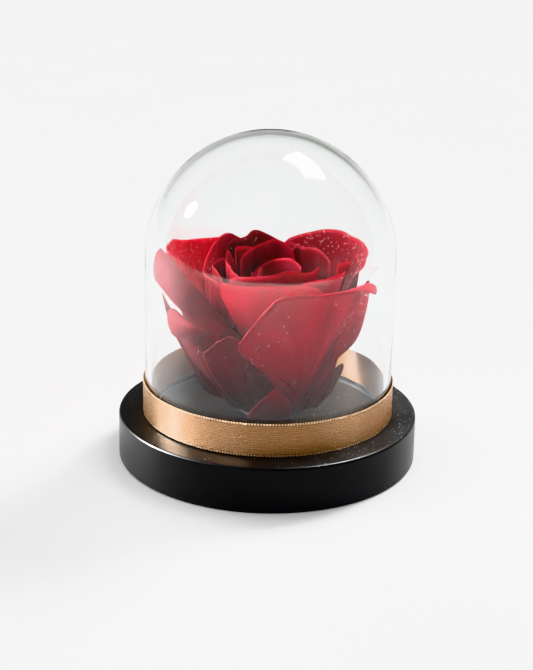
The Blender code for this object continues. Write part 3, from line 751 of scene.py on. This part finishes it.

# How bright each petal is: painted light and shade, lighter on lit petals and darker on shaded ones. Inner
# petals that aren't named here get painted shade that darkens them towards the heart.
PETAL_LIGHT_AND_SHADE = {
    "low_front_petal": 0.95, "front_right_petal": 0.78, "slim_side_petal": 0.5, "side_right_petal": 0.5,
    "low_left_front_petal": 0.3, "low_middle_petal": 0.36, "low_right_front_petal": 0.42,
    "far_left_petal": 0.6, "low_left_petal": 0.36, "low_right_petal": 1.0, "left_petal": 0.34,
    "back_left_petal": 1.3, "back_right_petal": 0.28, "front_petal": 1.35, "right_petal": 1.1,
    "left_inner_petal": 0.8, "back_inner_petal": 0.22, "right_swirl_petal": 0.2,
}
OUTER_TONE = 0.95
INNER_SHADE_TONES = (0.66, 0.34)
OPEN_INNER_PETAL = "left_inner_petal"
outer_count = [petal["name"] for petal in PETALS].index("front_petal")
room = np.full((AZIMUTH_CELLS, HEIGHT_CELLS), PETAL_ROOM)
petal_grids = {}
for rank, petal in enumerate(PETALS):
    cage = petal_cage(petal, 1 - rank / (len(PETALS) - 1))
    limit = room_at(room, cage[..., 0], cage[..., 1]) - PETAL_SPACING
    push = eased(np.maximum(cage[..., 2] - limit, 0))
    cage[..., 2] = np.maximum(cage[..., 2] - push, LEAST_RADIUS)
    room = take_room(room, cage)
    points = in_space(cage)
    if "roll" in petal:
        points = rolled(points, *petal["roll"])
    points = wavy(points, rank)
    petal_grids[petal["name"]] = points
    tone = OUTER_TONE
    if rank >= outer_count:
        variety = 0.9 + 0.2 * (rank * 0.618 % 1)
        tone = np.interp(rank, (outer_count, len(PETALS) - 1), INNER_SHADE_TONES) * variety
    tone = PETAL_LIGHT_AND_SHADE.get(petal["name"], tone)
    # Painted shade share: crowded inner petals get it, and the open inner petal gets none.
    crowding = np.interp(rank, (outer_count, outer_count + 3), (0, 1))
    if petal["name"] == OPEN_INNER_PETAL:
        crowding = 0
    piece = petal_piece("velvet_" + petal["name"], points, tone, crowding)
    piece.data.materials.append(petal_velvet)
    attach(piece, "root")
    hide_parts(petal["name"])


# Dust: pale grains that cling to the petals' upper margins, most of them on the back and right petals. Each
# is a small faceted crystal that touches its petal.
GRAIN_RADII = (0.06, 0.18)
DUST_DEPTH = 0.16
DUST_LOWEST = 0.6
# Each dusty petal with its count of grains, their side (1 is the outer one), and their stretch of its width
DUSTY_PETALS = [
    ("back_left_petal", 170, -1, 0.25, 1.0),
    ("back_right_petal", 260, -1, 0.0, 0.8),
    ("low_right_petal", 210, 1, 0.1, 0.62),
    ("front_right_petal", 60, 1, 0.1, 1.0),
    ("left_petal", 30, 1, 0.2, 0.9),
    ("right_petal", 14, 1, 0.2, 1.0),
    ("back_inner_petal", 60, -1, 0.0, 1.0),
    ("left_inner_petal", 34, -1, 0.2, 0.9),
    ("right_inner_petal", 14, -1, 0.2, 0.9),
    ("low_left_front_petal", 10, 1, 0.1, 0.9),
]
OCTAHEDRON = np.array([(1, 0, 0), (-1, 0, 0), (0, 1, 0), (0, -1, 0), (0, 0, 1), (0, 0, -1)])
OCTAHEDRON_FACES = [(0, 2, 4), (2, 1, 4), (1, 3, 4), (3, 0, 4), (2, 0, 5), (1, 2, 5), (3, 1, 5), (0, 3, 5)]

chance = np.random.default_rng(11)
grains, grain_faces = [], []
for petal_name, count, side, first, last in DUSTY_PETALS:
    surface = petal_grids[petal_name]
    away = outward(surface) * side
    for _ in range(count):
        row = ROWS * (0.999 - min(abs(chance.normal()) * DUST_DEPTH, DUST_LOWEST))
        column = chance.uniform(first, last) * (surface.shape[1] - 1.001)
        i, j = int(row), int(column)
        left, right = (surface[i, k] + (surface[i + 1, k] - surface[i, k]) * (row - i) for k in (j, j + 1))
        radius = chance.uniform(*GRAIN_RADII)
        centre = left + (right - left) * (column - j) + away[i, j] * (PETAL_THICKNESS * 0.4 + radius * 0.6)
        twist = np.array(Matrix.Rotation(chance.uniform(0, 3), 3, Vector(chance.normal(size=3))))
        grain_faces += [tuple(len(grains) + k for k in face) for face in OCTAHEDRON_FACES]
        grains += [tuple((centre + radius * corner) * MM) for corner in OCTAHEDRON @ twist.T]
mesh = bpy.data.meshes.new("petal_dust")
mesh.from_pydata(grains, [], grain_faces)
petal_dust = placed("petal_dust", mesh)

dust_finish, tree, skin = finish_of("pale dust")
clump = cloudy(tree, object_place(tree), 300.0)
fill(tree, skin, {"Base Color": ramp(tree, clump, (0.75, 0.5, 0.5, 1), (1, 0.9, 0.9, 1)), "Roughness": 0.4})
petal_dust.data.materials.append(dust_finish)
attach(petal_dust, "root")


# The dome: clear soda glass blown to a half sphere on a straight wall, open below, with a fire-rounded rim
# that stands in the base's groove, where its faces are opaque dark grey as painted shade. Its wall is
# slightly uneven, as blown glass is.
DOME_RADIUS = 37.1 * MM
DOME_WALL = 1.8 * MM
DOME_SPRING = BASE_TOP + 48.4 * MM
DOME_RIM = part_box("glass_dome")[0].z
DOME_STEPS = 160
NEAR_POLE = 88
GLASS_CLEAR = (0.985, 0.995, 0.99, 1)
SHADOW_CLEAR = (0.93, 0.935, 0.93, 1)

dome_inner = DOME_RADIUS - DOME_WALL
rim_round = DOME_WALL / 2
straight = [DOME_SPRING + (DOME_RIM + rim_round - DOME_SPRING) * i / 12 for i in range(1, 12)]
outside = [(0, DOME_SPRING + DOME_RADIUS)] + arc((0, DOME_SPRING), DOME_RADIUS, NEAR_POLE, 0, 44)
outside += [(DOME_RADIUS, height) for height in straight]
rim = arc((DOME_RADIUS - rim_round, DOME_RIM + rim_round), rim_round, 0, -180, 8)
inside = [(dome_inner, height) for height in reversed(straight)]
inside += arc((0, DOME_SPRING), dome_inner, 0, NEAR_POLE, 44) + [(0, DOME_SPRING + dome_inner)]
blown_dome = turned("blown_glass_dome", outside + rim + inside, DOME_STEPS)

# Glass for its outer face, and for its inner one, which mirrors less because the outer one is in front of it
for name, mirroring in (("clear blown glass", 0.5), ("clear glass inside", 0.06)):
    glass, tree, skin = finish_of(name)
    swell = cloudy(tree, object_place(tree), 55.0, 1.0)
    fill(tree, skin, {
        "Base Color": GLASS_CLEAR,
        "Roughness": 0.0,
        "IOR": 1.47,
        "Specular IOR Level": mirroring,
        "Transmission Weight": 1,
        "Normal": bumped(tree, swell, 0.25, 0.4 * MM),
    })
    shadow = shader(tree, "LightPath").outputs["Is Shadow Ray"]
    through = shader(tree, "BsdfTransparent", {"Color": SHADOW_CLEAR}).outputs["BSDF"]
    either = shader(tree, "MixShader", {0: shadow, 1: skin.outputs["BSDF"], 2: through})
    tree.links.new(either.outputs["Shader"], tree.nodes["Material Output"].inputs["Surface"])
    blown_dome.data.materials.append(glass)
INNER_FACE = 1
RIM_IN_GROOVE_SHADE = 2

# Painted shade: opaque dark grey for the rim's faces inside the groove, standing in for the groove's shade.
groove_shade, tree, skin = finish_of("painted groove shade")
smear = cloudy(tree, object_place(tree), 120.0)
fill(tree, skin, {
    "Base Color": ramp(tree, smear, (0.03, 0.038, 0.042, 1), (0.12, 0.14, 0.15, 1)),
    "Roughness": 0.6,
})
blown_dome.data.materials.append(groove_shade)

solid = bpy.data.meshes.new_from_object(blown_dome.evaluated_get(bpy.context.evaluated_depsgraph_get()))
blown_dome.modifiers.clear()
blown_dome.data = solid
for face in solid.polygons:
    x, y, z = face.center
    from_middle = Vector((x, y, max(z - DOME_SPRING, 0))).length
    # Faces below the base top take the painted groove shade.
    if z < BASE_TOP:
        face.material_index = RIM_IN_GROOVE_SHADE
    elif from_middle < DOME_RADIUS - DOME_WALL / 2:
        face.material_index = INNER_FACE
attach(blown_dome, "root")
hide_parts("glass_dome")


# The ribbon: 10 mm polyester satin, glued once round the foot of the glass with its ends lapped at the back.
# Both edges are woven selvedges with a row of tiny loops.
RIBBON_WIDTH = 10 * MM
RIBBON_THICKNESS = 0.22 * MM
RIBBON_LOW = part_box("ribbon")[0].z
RIBBON_RADIUS = DOME_RADIUS + 0.45 * MM
RIBBON_LAP = 16.0
RIBBON_LAP_AT = 186.0
LAP_RISE = 5
LOOP_PITCH = 0.85 * MM
LOOP_DEPTH = 0.16 * MM
STEPS_A_LOOP = 5
SELVEDGE_SHARE = 0.035
RIPPLE = 0.12 * MM
THREAD_SHADE = (0.12, 0.05, 0.02, 1)
STITCH_SHADE = (0.2, 0.085, 0.035, 1)
LOOP_PAINTED_SHADE = (0.2, 0.08, 0.034, 1)
LOOP_PAINTED_GLINT = (1.0, 0.7, 0.42, 1)
WETTED_GOLD = (0.28, 0.14, 0.07, 1)

turn = 360 + RIBBON_LAP
length = math.radians(turn) * RIBBON_RADIUS
steps_along = int(length / LOOP_PITCH) * STEPS_A_LOOP
ups = [0, 0.012, 0.03, 0.06, 0.12, 0.2, 0.3, 0.4, 0.5, 0.6, 0.7, 0.8, 0.88, 0.94, 0.97, 0.988, 1]
points, faces = [], []
for side in (1, -1):
    for i in range(steps_along + 1):
        along = i / steps_along
        angle = math.radians(RIBBON_LAP_AT + turn * along)
        east, north = math.cos(angle), math.sin(angle)
        lapped = min(max((along * turn - 360 + LAP_RISE) / LAP_RISE, 0), 1)
        lift = (0.03 + 0.3 * lapped * lapped * (3 - 2 * lapped)) * MM
        loop = 0.5 + 0.5 * math.sin(2 * math.pi * along * length / LOOP_PITCH)
        for up in ups:
            edge = max(0, 1 - min(up, 1 - up) / SELVEDGE_SHARE)
            half = RIBBON_THICKNESS / 2 * (1 + 0.5 * edge * loop)
            if up in (0, 1):
                half *= 0.5
            ripple = noise.noise(Vector((east * 2.4, north * 2.4, up * 0.8))) * RIPPLE
            flare = RIPPLE * (2 * up - 1) ** 2 * noise.noise(Vector((east * 4, north * 4, 5 + up)))
            radius = RIBBON_RADIUS + lift + max(ripple + flare, -0.02 * MM) + side * half
            height = RIBBON_LOW + RIBBON_WIDTH * up + (2 * up - 1) * edge * (loop - 0.5) * LOOP_DEPTH
            points.append((radius * north, -radius * east, height))
rows = len(ups)
ring = (steps_along + 1) * rows
for i in range(steps_along):
    for j in range(rows - 1):
        a, b = i * rows + j, (i + 1) * rows + j
        faces.append((a, b, b + 1, a + 1))
        faces.append((ring + a, ring + a + 1, ring + b + 1, ring + b))
    for j in (0, rows - 1):
        a, b = i * rows + j, (i + 1) * rows + j
        faces.append((a, ring + a, ring + b, b) if j == 0 else (a, b, ring + b, ring + a))
for i in (0, steps_along):
    for j in range(rows - 1):
        a = i * rows + j
        faces.append((a, a + 1, ring + a + 1, ring + a) if i == 0 else (a, ring + a, ring + a + 1, a + 1))
mesh = bpy.data.meshes.new("satin_ribbon")
mesh.from_pydata(points, [], faces)
mesh.shade_smooth()
uv = mesh.uv_layers.new(name="weave").data
for face in mesh.polygons:
    for loop in face.loop_indices:
        index = mesh.loops[loop].vertex_index % ring
        uv[loop].uv = (index // rows / steps_along * length / MM, ups[index % rows] * RIBBON_WIDTH / MM)
glued = mesh.attributes.new("glued", "FLOAT", "POINT")
glued.data.foreach_set("value", [float(index >= ring) for index in range(len(points))])
satin_ribbon = placed("satin_ribbon", mesh)

# The weave, in millimetres along and across the ribbon: bright floating threads with darker gaps, a stitched
# line inside each edge, loops painted with a glint and a shade in turns, and glue that has wetted the inner
# side
satin, tree, skin = finish_of("gold satin weave")
threads = shader(tree, "UVMap", uv_map="weave").outputs["UV"]
along_thread = shader(tree, "Mapping", {"Vector": threads, "Scale": (1.0, 2.1, 1)}).outputs["Vector"]
floats = cloudy(tree, along_thread, 1.0, 3.0)
weave = {"Vector": threads, "Scale": 1.0, "Mortar Size": 0.13, "Mortar Smooth": 1.0, "Brick Width": 1.05,
         "Row Height": 0.55}
weave = shader(tree, "TexBrick", weave).outputs["Fac"]
broad = cloudy(tree, threads, 0.35)
gold = ramp(tree, floats, (0.34, 0.135, 0.04, 1), (0.66, 0.33, 0.13, 1), 0.36, 0.64)
woven = mixed(tree, combined(tree, "MULTIPLY", weave, 0.38), gold, THREAD_SHADE)
from_middle = combined(tree, "SUBTRACT", axis_of(tree, threads, "Y"), RIBBON_WIDTH / MM / 2)
from_middle = combined(tree, "ABSOLUTE", from_middle)
woven = mixed(tree, combined(tree, "COMPARE", from_middle, 4.28, 0.1), woven, STITCH_SHADE)
# Painted glint and shade: along each edge the loops alternate between dark and bright gold.
loop_turn = combined(tree, "MULTIPLY", axis_of(tree, threads, "X"), 2 * math.pi * MM / LOOP_PITCH)
loop_turn = combined(tree, "MULTIPLY_ADD", broad, 4.0, combined(tree, "SINE", loop_turn))
painted_loop_glints = mixed(tree, ranged(tree, loop_turn, 1.4, 2.6), LOOP_PAINTED_SHADE, LOOP_PAINTED_GLINT)
edged = mixed(tree, ranged(tree, from_middle, 4.45, 4.6), woven, painted_loop_glints)
glue_mark = shader(tree, "Attribute", attribute_name="glued").outputs["Fac"]
glue_mark = combined(tree, "MULTIPLY", glue_mark, 0.8)
thread_relief = combined(tree, "MULTIPLY_ADD", weave, -1.5, floats)
gloss = combined(tree, "MULTIPLY_ADD", glue_mark, 0.6, ranged(tree, floats, 0.35, 0.65, 0.4, 0.18))
dull = combined(tree, "MULTIPLY_ADD", weave, 0.95, glue_mark, clamp=True)
fill(tree, skin, {
    "Base Color": mixed(tree, glue_mark, edged, WETTED_GOLD),
    "Roughness": gloss,
    "Normal": bumped(tree, thread_relief, 1.0, 0.11 * MM),
    "Metallic": 0.2,
    "Specular IOR Level": 1.0,
    "IOR": 1.75,
    "Specular Tint": mixed(tree, dull, (1, 0.9, 0.7, 1), (0, 0, 0, 1)),
    "Anisotropic": 0.7,
    "Anisotropic Rotation": 0.25,
})
satin_ribbon.data.materials.append(satin)
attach(satin_ribbon, "root")
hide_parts("ribbon")


# The table: a plain white sheet, and more of the same floor further out that only the camera and the glass
# see. A white card lies on it before the object and glows, as painted light that only reflections show; the
# glow fades out towards the base.
def floor_sheet(name, corners, height, finish):
    mesh = bpy.data.meshes.new(name)
    mesh.from_pydata([(x, y, height) for x, y in corners], [], [tuple(range(len(corners)))])
    sheet = placed(name, mesh)
    sheet.data.materials.append(finish)
    return sheet


NEAR_TABLE = [(0, -0.54), (0.34, -0.3), (0.86, 0.1), (1.05, 0.6), (1.4, 2.2), (-1.6, 2.2), (-1.45, 0.5),
              (-1.1, -0.1), (-0.5, -0.36)]
FAR_TABLE = [(-5, -5), (5, -5), (5, 6), (-5, 6)]
GLOWING_CARD = [(-0.5, -0.36), (0, -0.54), (0.34, -0.3), (0.34, -0.1), (-0.5, -0.1)]
SHEET_GAP = 0.4 * MM

table_white, tree, skin = finish_of("matte white table")
tooth = cloudy(tree, object_place(tree), 14.0, 3.0)
fill(tree, skin, {
    "Base Color": ramp(tree, tooth, (0.86, 0.86, 0.87, 1), (0.9, 0.9, 0.9, 1)),
    "Roughness": 0.7,
    "Specular IOR Level": 0.1,
})
# Painted light: the card glows, more strongly further from the base, and only reflections show it.
glowing_card_finish, tree, skin = finish_of("glowing card")
fill(tree, skin, {
    "Base Color": (0.88, 0.88, 0.885, 1),
    "Emission Color": (1, 1, 1, 1),
    "Emission Strength": ranged(tree, axis_of(tree, object_place(tree), "Y"), -0.15, -0.28, 0.0, 1.3),
})
floor_sheet("table_top", NEAR_TABLE, 0, table_white)
far_table = floor_sheet("table_beyond", FAR_TABLE, -SHEET_GAP, table_white)
glowing_card = floor_sheet("glowing_card", GLOWING_CARD, SHEET_GAP, glowing_card_finish)
for sheet in (far_table, glowing_card):
    sheet.visible_diffuse = False
    sheet.visible_shadow = False
far_table.visible_glossy = False
glowing_card.visible_camera = False


# Soft studio light: a bright ceiling over a dim room, a wide soft key from behind on the right, and two small
# softboxes and a side window that the glass mirrors.
world = bpy.data.worlds.new("studio")
bpy.context.scene.world = world
world.use_nodes = True
tree = world.node_tree
sky = shader(tree, "TexCoord").outputs["Generated"]
ray = shader(tree, "LightPath").outputs
right_of, far_off, height = (axis_of(tree, sky, axis) for axis in "XYZ")
ceiling = ramp(tree, height, (0.03, 0.03, 0.032, 1), (1.1, 1.1, 1.11, 1), 0.12, 0.75)
mirrored = ranged(tree, right_of, -0.5, 0.6, 0.12, 0.42)
mirrored = combined(tree, "MULTIPLY", mirrored, ranged(tree, far_off, -0.3, 0.3, 0.25))
room_light = mixed(tree, ray["Is Glossy Ray"], ceiling, mirrored)
shade = ranged(tree, right_of, -0.35, 0.3, 0.45)
shade = combined(tree, "MULTIPLY", ranged(tree, height, -0.02, 0.2), shade)
wall = mixed(tree, shade, (0.95, 0.95, 0.95, 1), (0.3, 0.32, 0.28, 1))
through_glass = mixed(tree, ray["Is Transmission Ray"], room_light, wall)
air = mixed(tree, ray["Is Camera Ray"], through_glass, (1.0, 1.0, 1.01, 1))
fill(tree, tree.nodes["Background"], {"Color": air})
LAMPS_AIM_AT = Vector((0, 0, 0.05))


def lamp(name, kind, azimuth, elevation, distance, energy, **settings):
    """A light aimed at the bloom from an azimuth and elevation in degrees."""
    light = bpy.data.lights.new(name, kind)
    light.energy = energy
    for setting, value in settings.items():
        setattr(light, setting, value)
    turn, rise = math.radians(azimuth), math.radians(elevation)
    away = Vector((math.sin(turn) * math.cos(rise), -math.cos(turn) * math.cos(rise), math.sin(rise)))
    holder = placed(name, light)
    holder.location = LAMPS_AIM_AT + away * distance
    holder.rotation_mode = "QUATERNION"
    holder.rotation_quaternion = away.to_track_quat("Z", "Y")
    return holder


key = lamp("soft_key", "SUN", 136, 31, 1, 3.45, angle=math.radians(21))
key.visible_glossy = False
key.visible_transmission = False
# The lamps that the glass mirrors, with the share of their strength that is left for what is seen through it
softboxes = [
    (lamp("side_window", "AREA", -98, 28, 1.2, 200, shape="ELLIPSE", size=0.17, size_y=0.23), 0.32),
    (lamp("softbox_left", "AREA", 150, 60, 1.1, 20, shape="RECTANGLE", size=0.24, size_y=0.3), 0.08),
    (lamp("softbox_right", "AREA", 124, 60, 1.1, 20, shape="RECTANGLE", size=0.28, size_y=0.3), 0.08),
]
for softbox, share in softboxes:
    softbox.visible_diffuse = False
    softbox.data.use_nodes = True
    tree = softbox.data.node_tree
    under_glass = shader(tree, "LightPath").outputs["Transmission Depth"]
    fill(tree, tree.nodes["Emission"], {"Strength": ranged(tree, under_glass, 0.0, 1.0, 1.0, share)})


# The camera: before the object and above its rim, looking down at it by about 20 degrees, as the photograph
# was taken. Its slight pan and roll are the photograph's own.
CAMERA_DISTANCE = 0.487
CAMERA_ELEVATION = math.radians(18.94)
CAMERA_PITCH = math.radians(19.78)
CAMERA_PAN = math.radians(0.09)
CAMERA_ROLL = math.radians(1.2)
TARGET_HEIGHT = 0.045
camera_data = bpy.data.cameras.new("camera")
camera_data.sensor_width = 36
camera_data.lens = 87.8
camera_data.clip_start = 0.01
camera = placed("camera", camera_data)
stand = Vector((0, -CAMERA_DISTANCE * math.cos(CAMERA_ELEVATION),
                TARGET_HEIGHT + CAMERA_DISTANCE * math.sin(CAMERA_ELEVATION)))
camera.matrix_world = (
    Matrix.Translation(stand) @ Matrix.Rotation(CAMERA_PAN, 4, "Z")
    @ Matrix.Rotation(math.pi / 2 - CAMERA_PITCH, 4, "X") @ Matrix.Rotation(CAMERA_ROLL, 4, "Z")
)
bpy.context.scene.camera = camera
bpy.context.scene.view_settings.view_transform = "Khronos PBR Neutral"
